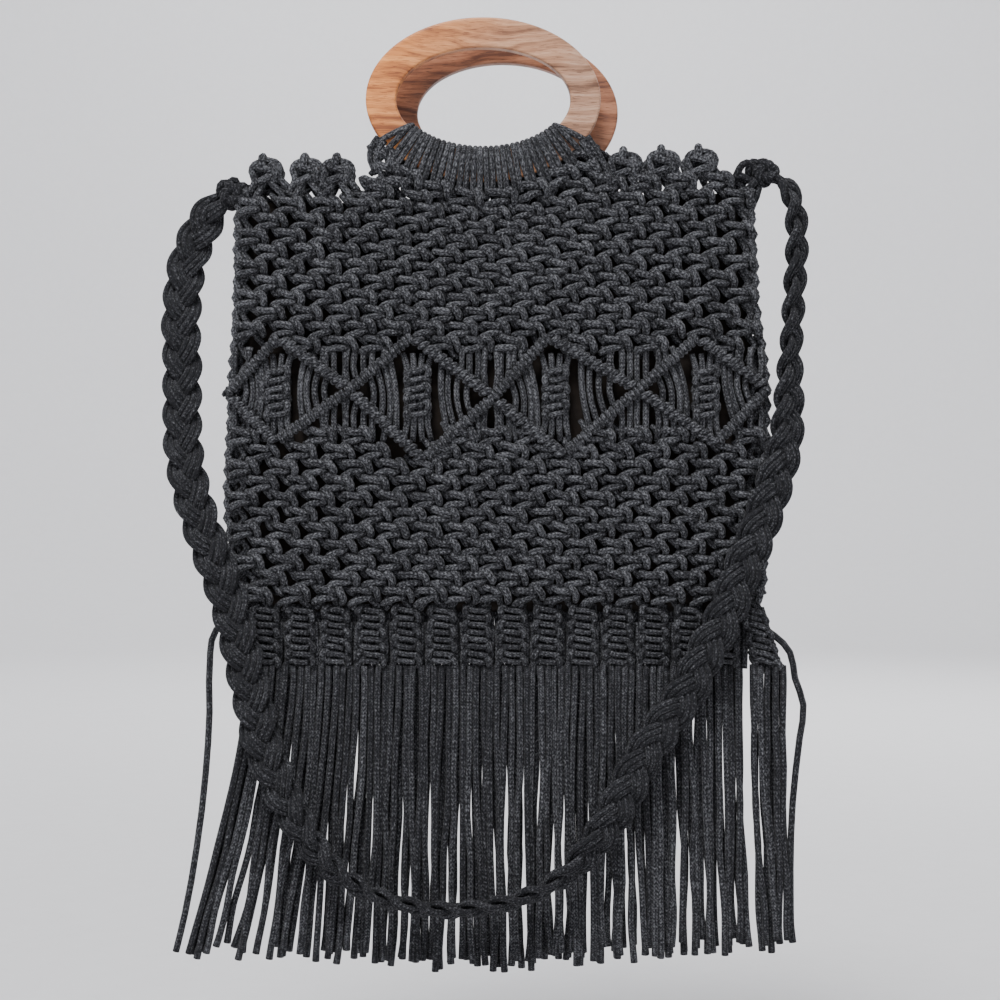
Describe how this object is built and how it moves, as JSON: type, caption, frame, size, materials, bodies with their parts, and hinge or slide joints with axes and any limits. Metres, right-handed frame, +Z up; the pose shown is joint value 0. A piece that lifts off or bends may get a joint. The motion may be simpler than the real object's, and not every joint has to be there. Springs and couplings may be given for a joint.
{
  "type": "macrame bag",
  "caption": "Knotted cord bag with oval wooden handles, a band of diamonds, a long fringe and a braided shoulder strap, shown hanging by its handles.",
  "frame": {"origin": "where the bag hangs: level with the top inside edge of the front handle's opening, half-way between the two handles", "axes": "+Z up, -Y out of the front panel, +X to the right seen from the front"},
  "size_m": [0.4319, 0.0619, 0.6342],
  "materials": {
    "charcoal_cord": "matte knitted cotton cord",
    "walnut": "satin oiled wood",
    "red_wood": "satin oiled wood"
  },
  "bodies": {
    "root": {"handle_front": "walnut", "handle_back": "red_wood", "handle_wraps_front": "charcoal_cord", "handle_wraps_back": "charcoal_cord", "panel_front": "charcoal_cord", "panel_back": "charcoal_cord", "closing_columns": "charcoal_cord", "fringe": "charcoal_cord", "strap": "charcoal_cord", "strap_knot_left": "charcoal_cord", "strap_knot_right": "charcoal_cord"}
  },
  "joints": []
}
